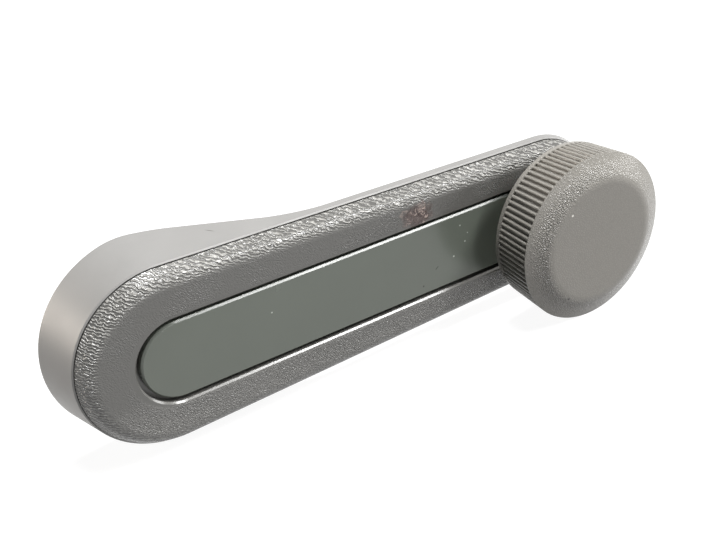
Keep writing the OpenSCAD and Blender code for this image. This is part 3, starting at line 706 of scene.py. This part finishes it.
def frame_cover(arm, face):
    """The frame's outside: a leaning side, a round shoulder, the pocket, and the groove over the seam."""
    reach, hub_r, tip_r, seam_h = in_mm(arm, "reach hub_r tip_r seam_h")
    face_h, ledge, shoulder_r, skin, wall, groove_h, groove_d = in_mm(
        face, "face_h ledge shoulder_r skin wall groove_h groove_d")
    pocket_hub_r, pocket_tip_r, pocket_x, pocket_end, pocket_edge = in_mm(
        face, "pocket_hub_r pocket_tip_r pocket_x pocket_end pocket_edge")
    lean, steps = face.lean, 9
    bend_up = shoulder_r * (1 - math.sin(lean))
    side_up = face_h - seam_h - bend_up
    turns = [lean + (math.pi / 2 - lean) * i / steps for i in range(steps + 1)]
    rings = [(side_up * math.tan(lean), side_up)] + [
        (shoulder_r * (math.cos(a) - math.cos(b)), shoulder_r * (math.sin(b) - math.sin(a)))
        for a, b in zip(turns, turns[1:])]
    cover = oval_sheet("grained_frame", hub_r - ledge, tip_r - ledge, reach, seam_h)
    raise_top(cover, rings)
    close_bottom(cover)

    inner_h = face_h - skin
    combine(cover, oval_block(pocket_hub_r, pocket_tip_r, reach, inner_h, face_h + 1, pocket_x, pocket_end))
    soften(cover, lambda e: len(e.link_faces) == 2 and min(v.co.z for v in e.verts) > face_h - EPS
           and min(abs(f.normal.z) for f in e.link_faces) < 0.1, pocket_edge, 1)
    groove = oval_block(hub_r + 1, tip_r + 1, reach, seam_h - 1, seam_h + groove_h)
    back = ledge + groove_d
    combine(groove, oval_block(hub_r - back, tip_r - back, reach, seam_h - 2, seam_h + 1))
    combine(cover, groove)
    back = ledge + wall
    combine(cover, oval_block(hub_r - back, tip_r - back, reach, seam_h - 1, inner_h))
    return cover


def floor_pocket(cover, arm, face):
    """Adds the pocket's floor, the well, and a cup and a hole for each screw."""
    reach, = in_mm(arm, "reach")
    face_h, skin, pocket_hub_r, pocket_tip_r, pocket_x, pocket_end, well_r = in_mm(
        face, "face_h skin pocket_hub_r pocket_tip_r pocket_x pocket_end well_r")
    inner_h = face_h - skin
    joined_h, rim = inner_h + 0.05, 1.2  # Joined pieces reach a little way into the skin
    combine(cover, oval_block(pocket_hub_r + rim, pocket_tip_r + rim, reach, FLOOR_H, joined_h, pocket_x),
            "UNION")
    well_wall, well_low, well_cut = 0.9, 6.6, 5.0
    combine(cover, post(well_r + well_wall, well_low, joined_h), "UNION")
    cup_r, head_r, hole_r = 3.1, 2.1, 1.15
    cup_h = inner_h - 1.5  # The screws' heads are 1.4 high
    for place in SCREWS:
        combine(cover, post(cup_r, cup_h - 0.9, joined_h, place, 40), "UNION")
    inside = 0.02  # Keeps this cut off the pocket's wall
    combine(cover, oval_block(pocket_hub_r - inside, pocket_tip_r - inside, reach, inner_h, inner_h + 0.5,
                              pocket_x, pocket_end - inside))
    combine(cover, post(well_r, well_cut, inner_h + 1))
    for place in SCREWS:
        combine(cover, post(head_r, cup_h, inner_h + 1, place, 40))
        combine(cover, post(hole_r, cup_h - 1.4, cup_h + 1.1, place, 32))


def frame_piece(arm, face, strip):
    """Grained cover, with the slots for the strip's legs, the seat of its bead and the spindle's hole."""
    cover = frame_cover(arm, face)
    floor_pocket(cover, arm, face)
    reach, = in_mm(arm, "reach")
    face_h, skin, pocket_tip_r = in_mm(face, "face_h skin pocket_tip_r")
    leg_l, leg_t, leg_y, bead_x, bead_r, strip_top = in_mm(strip, "leg_l leg_t leg_y bead_x bead_r top_h")
    leg_play, bead_play = 0.35, 0.05
    half_x, half_y = leg_l / 2 + leg_play, leg_t / 2 + leg_play
    for x in LEGS_X:
        for y in (-leg_y, leg_y):
            combine(cover, block((x - half_x, y - half_y, FLOOR_CUT),
                                 (x + half_x, y + half_y, face_h - skin + 0.2)))
    combine(cover, cross_bar(bead_r + bead_play, (bead_x, strip_top - bead_r), pocket_tip_r))
    combine(cover, post(SPINDLE_HOLE_R, FLOOR_CUT, face_h + 1, (reach, 0)))
    return cover


def strip_piece(arm, strip):
    """Smooth strip: a round hub end, a slanted upper edge, four snap legs and the bead that it turns on."""
    reach, = in_mm(arm, "reach")
    top_h, thick, start, end, hub_r, tip_r, edge, bead_x, bead_r = in_mm(
        strip, "top_h thick start end hub_r tip_r edge bead_x bead_r")
    leg_low, leg_l, leg_t, leg_y = in_mm(strip, "leg_low leg_l leg_t leg_y")
    piece = oval_sheet("smooth_strip", hub_r, tip_r, reach, top_h - thick, start)
    trim(piece, end)
    pull_up(piece, thick)
    soften(piece, lambda e: min(v.co.z for v in e.verts) > top_h - EPS, edge, 1)

    # Both bends of that slant are rounded a little, apart from those at the end under the knob
    bend, slant_low = 0.06, top_h - edge - EPS
    soften(piece, lambda e: min(v.co.x for v in e.verts) < end - 1
           and min(v.co.z for v in e.verts) > slant_low
           and min(f.normal.dot(g.normal) for f in e.link_faces for g in e.link_faces) < 0.9, bend, 2)

    middle, tongue = top_h - thick / 2, 0.45
    combine(piece, block((end - 1, -tip_r + EPS, middle - tongue), (bead_x, tip_r - EPS, middle + tongue)),
            "UNION")
    combine(piece, cross_bar(bead_r, (bead_x, middle), tip_r), "UNION")
    for x in LEGS_X:
        for y in (-leg_y, leg_y):
            combine(piece, block((x - leg_l / 2, y - leg_t / 2, leg_low),
                                 (x + leg_l / 2, y + leg_t / 2, middle)), "UNION")
    return piece


def to_ring(old, new):
    """Extrudes the selected face to the next ring, given as radius and height."""
    bpy.ops.mesh.extrude_region_move(TRANSFORM_OT_translate={"value": (0, 0, new[1] - old[1])})
    bpy.ops.transform.resize(value=(new[0] / old[0], new[0] / old[0], 1), center_override=(0, 0, new[1]))


def draw_grooves(cap, knob, low, high):
    """Draws in the grooves between two heights. Of the eight columns in a pitch, three are the groove's
    floor and three the rib's top."""
    radius, draw, rib_h = in_mm(knob, "radius draw rib_h")
    drawn_in = {0: 1.0, 1: 1.0, 2: 1.0, 3: 0.25, 7: 0.25}
    pitch = 2 * math.pi / knob.ribs
    for depth in sorted(set(drawn_in.values())):
        columns = [c for c, d in drawn_in.items() if d == depth]

        def in_column(v):
            column = round((math.atan2(v.co.y, v.co.x) % pitch) / pitch * PER_RIB) % PER_RIB
            return column in columns and low + EPS < v.co.z < high - EPS

        share = 1 - depth * rib_h / (radius - draw / 2)
        with editing(cap, "VERT"):
            pick(cap, "VERT", in_column)
            bpy.ops.transform.resize(value=(share, share, 1), center_override=(0, 0, 0))


def hollow_cap(cap, knob, low_r):
    """Sinks the hollow into the cap's lower face, with a step in its wall that seats the core."""
    radius, base_h, top_h, edge_w, edge_h, bore_r, bore_step, step_h, top_t = in_mm(
        knob, "radius base_h top_h edge_w edge_h bore_r bore_step step_h top_t")
    bend_h = top_h - edge_h + (radius - bore_r) * edge_h / edge_w - top_t
    inside = [(bore_r, base_h + step_h), (bore_r, bend_h), (radius - edge_w, top_h - top_t)]
    with editing(cap, "FACE"):
        pick(cap, "FACE", lambda f: f.normal.z < -0.99 and f.calc_center_median().z < base_h + EPS)
        bpy.ops.mesh.inset(thickness=low_r - bore_r - bore_step, depth=0)
        bpy.ops.mesh.extrude_region_move(TRANSFORM_OT_translate={"value": (0, 0, step_h)})
        bpy.ops.mesh.inset(thickness=bore_step, depth=0)
        for old, new in zip(inside, inside[1:]):
            to_ring(old, new)


def cap_piece(arm, knob):
    """Ribbed cap: a plain lip, grooves with closed ends, a slanted edge, a round crest and the flat face."""
    reach, = in_mm(arm, "reach")
    radius, draw, base_h, top_h, lip_h, groove_end, edge_w, edge_h, crest_r = in_mm(
        knob, "radius draw base_h top_h lip_h groove_end edge_w edge_h crest_r")
    soft, corner_h = 0.12, top_h - edge_h
    low, high = base_h + lip_h, corner_h - groove_end
    low_r = radius - draw - soft

    def on_side(height):
        return radius - draw * (corner_h - height) / (corner_h - base_h), height

    rings = [(low_r, base_h)] + [on_side(h) for h in (
        base_h + soft, low, low + 0.05, high - 0.05, high, corner_h)]
    slant = math.atan2(edge_h, edge_w)
    flat_r = radius - edge_w - crest_r * math.tan(slant / 2)
    rings += [(flat_r + crest_r * math.sin(slant * i / 6), top_h - crest_r * (1 - math.cos(slant * i / 6)))
              for i in range(6, -1, -1)]
    make_active(None)
    bpy.ops.mesh.primitive_circle_add(vertices=PER_RIB * knob.ribs, radius=low_r, fill_type="NGON",
                                      location=(0, 0, base_h))
    cap = new_piece("ribbed_cap")
    with editing(cap, "FACE", "SELECT"):
        for old, new in zip(rings, rings[1:]):
            to_ring(old, new)
    close_bottom(cap)
    draw_grooves(cap, knob, low, high)
    hollow_cap(cap, knob, low_r)
    with editing(cap, "VERT", "SELECT"):
        bpy.ops.transform.translate(value=(reach, 0, 0))
    return cap


# Operators

class CRANK_OT_stage(bpy.types.Operator):
    """Sets up the camera, the pale floor, the softboxes and the white surroundings"""
    bl_idname = "crank.stage"
    bl_label = "Stage"

    def execute(self, context):
        stage = context.scene.crank_stage
        scene = context.scene
        scene.view_settings.view_transform = "Standard"
        make_active(None)
        right = CAMERA_AHEAD.cross(CAMERA_UP).normalized()
        up = right.cross(CAMERA_AHEAD).normalized()
        bpy.ops.object.camera_add(location=CAMERA_PLACE)
        camera = context.object
        camera.rotation_euler = Matrix((right, up, -CAMERA_AHEAD.normalized())).transposed().to_euler()
        camera.data.lens, camera.data.sensor_width = CAMERA_LENS, CAMERA_SENSOR
        camera.data.clip_start = 0.01
        scene.camera = camera

        middle = Vector((0.04, -0.01, 0))
        lamps = (("Overhead softbox", (0.05, -0.08, 1), stage.key_power, 0.35, "#ffffff"),
                 ("Front right softbox", (0.45, -0.48, 0.75), stage.front_power, 0.28, "#ffffff"),
                 ("Front spotlight", (0.1, -0.97, 0.12), stage.spot_power, 0.1, "#ffffff"),
                 ("Right softbox", (0.95, -0.2, 0.2), stage.right_power, 0.35, "#ffffff"),
                 ("Rear left softbox", (-0.7, 0.7, 0.15), stage.rear_power, 0.35, "#fff3e6"))
        for name, towards, power, breadth, code in lamps:
            towards = Vector(towards).normalized()
            bpy.ops.object.light_add(type="AREA", location=middle + LAMP_DISTANCE * towards)
            lamp = context.object
            lamp.name = name
            lamp.rotation_euler = towards.to_track_quat("Z", "Y").to_euler()
            lamp.data.shape = "SQUARE"
            lamp.data.size = breadth
            lamp.data.energy = power
            lamp.data.color = linear(code)[:3]

        make_active(None)
        foot, gap = -SHELL_LOW.x / math.cos(stage.floor_lean), 0.0001
        bpy.ops.mesh.primitive_plane_add(size=6, location=(0, 0, -foot - gap),
                                         rotation=(0, -stage.floor_lean, 0))
        floor = context.object
        floor.name = "floor"
        floor.data.materials.append(pale_floor())
        white_surroundings(scene)
        return {"FINISHED"}


def seen_directly(tree):
    """1 for what the camera sees itself, in a reflection or through glass, and 0 for light on the object."""
    path = add(tree, "LightPath")
    both = add(tree, "Math", {0: path.outputs["Is Camera Ray"], 1: path.outputs["Is Glossy Ray"]},
               operation="MAXIMUM")
    return add(tree, "Math", {0: both, 1: path.outputs["Is Transmission Ray"]}, operation="MAXIMUM")


def pale_floor():
    """Matt white paper, lifted towards white where it is seen, so that only the shadow shows on it. The
    lift grows with distance, so that the paper ends in the white around it without a line."""
    made, tree, surface, place = new_material("Paper, matt white", linear("#747474"), 0.9, ior=1.5)
    feed(surface, {"Specular IOR Level": 0.0})
    away = add(tree, "VectorMath", {0: place}, operation="LENGTH")
    lift = add(tree, "MapRange", {"Value": away, "From Min": 0.2, "From Max": 0.7, "To Min": 0.93})
    glow = add(tree, "Emission", {"Color": (1, 1, 1, 1), "Strength": lift})
    dark = add(tree, "Emission", {"Color": (0, 0, 0, 1), "Strength": 0.0})
    seen = add(tree, "MixShader", {0: seen_directly(tree), 1: dark, 2: glow})
    both = add(tree, "AddShader", {0: seen, 1: surface})
    feed(tree.nodes["Material Output"], {"Surface": both})
    return made


def white_surroundings(scene):
    """White to the eye and in reflections, and a soft grey light on the object."""
    world = bpy.data.worlds.new("White surroundings")
    world.use_nodes = True
    tree = world.node_tree
    tree.nodes.clear()
    soft = add(tree, "Background", {"Color": (1, 1, 1, 1), "Strength": 0.04})
    white = add(tree, "Background", {"Color": (1, 1, 1, 1), "Strength": 1.0})
    both = add(tree, "MixShader", {0: seen_directly(tree), 1: soft, 2: white})
    add(tree, "OutputWorld", {"Surface": both})
    scene.world = world


class CRANK_OT_shell(bpy.types.Operator):
    """Builds the smooth rear shell"""
    bl_idname = "crank.shell"
    bl_label = "Rear shell"

    def execute(self, context):
        piece = shell_piece(context.scene.crank_arm)
        fit(piece, "arm", "rear_housing", satin_shell(context.scene.crank_finishes))
        return {"FINISHED"}


class CRANK_OT_frame(bpy.types.Operator):
    """Builds the grained frame with its pocket"""
    bl_idname = "crank.frame"
    bl_label = "Grained frame"

    def execute(self, context):
        scene = context.scene
        piece = frame_piece(scene.crank_arm, scene.crank_frame, scene.crank_strip)
        fit(piece, "arm", "face_frame", leather_frame(scene.crank_finishes))
        return {"FINISHED"}


class CRANK_OT_strip(bpy.types.Operator):
    """Builds the smooth strip"""
    bl_idname = "crank.strip"
    bl_label = "Smooth strip"

    def execute(self, context):
        piece = strip_piece(context.scene.crank_arm, context.scene.crank_strip)
        fit(piece, "strip", "insert_strip", gloss_strip(context.scene.crank_finishes))
        return {"FINISHED"}


class CRANK_OT_knob(bpy.types.Operator):
    """Builds the ribbed cap of the knob"""
    bl_idname = "crank.knob"
    bl_label = "Ribbed cap"

    def execute(self, context):
        piece = cap_piece(context.scene.crank_arm, context.scene.crank_knob)
        finish = fine_grain_knob(context.scene.crank_finishes)
        fit(piece, "knob", "knob_cap", finish, angle=50)
        return {"FINISHED"}


class CRANK_OT_hardware(bpy.types.Operator):
    """Finishes the metal and nylon pieces that keep their own shapes"""
    bl_idname = "crank.hardware"
    bl_label = "Hardware finishes"

    def execute(self, context):
        stamped = bare_metal("Mild steel, stamped", "#8f9294", 0.42, 0.0012, 0.000004)
        turned = bare_metal("Steel, turned and riveted", "#9a9b9c", 0.3, 0.0005, 0.000004)
        plated = bare_metal("Steel, zinc plated", "#a3a6a8", 0.34, 0.0008, 0.000003)
        cast = bare_metal("Zinc, die cast", "#8a8d90", 0.46, 0.0006, 0.000008)
        bronze = bare_metal("Bronze, sintered", "#a07a45", 0.5, 0.0003, 0.000010)
        nylon = natural_nylon()
        finishes = {
            "core_plate": stamped, "spline_hub": cast, "frame_screws": plated, "knob_spindle": turned,
            "rivet_washer": plated, "spindle_collar": cast, "spring_washer": turned,
            "thrust_washer": nylon, "retaining_ring": turned, "knob_core": nylon, "knob_bush": bronze,
        }
        for name, material in finishes.items():
            slots = frame["nodes"][name].data.materials
            slots.clear()
            slots.append(material)
        return {"FINISHED"}


class CRANK_PT_panel(bpy.types.Panel):
    """Lists the sizes and the steps that build the crank"""
    bl_idname = "CRANK_PT_panel"
    bl_label = "Window crank"
    bl_space_type = "VIEW_3D"
    bl_region_type = "UI"
    bl_category = "Crank"

    def draw(self, context):
        for operator in OPERATORS:
            self.layout.operator(operator.bl_idname)
        for name, group in GROUPS.items():
            part = self.layout.box()
            for prop in group.__annotations__:
                part.prop(getattr(context.scene, name), prop)


OPERATORS = (CRANK_OT_stage, CRANK_OT_shell, CRANK_OT_frame, CRANK_OT_strip, CRANK_OT_knob,
             CRANK_OT_hardware)
CLASSES = (*GROUPS.values(), *OPERATORS, CRANK_PT_panel)


def register():
    for cls in CLASSES:
        bpy.utils.register_class(cls)
    for name, group in GROUPS.items():
        setattr(bpy.types.Scene, name, PointerProperty(type=group))


def unregister():
    for name in GROUPS:
        delattr(bpy.types.Scene, name)
    for cls in reversed(CLASSES):
        bpy.utils.unregister_class(cls)


def main():
    register()
    bpy.ops.crank.stage()
    bpy.ops.crank.shell()
    bpy.ops.crank.frame()
    bpy.ops.crank.strip()
    bpy.ops.crank.knob()
    bpy.ops.crank.hardware()


if __name__ == "__main__":
    main()
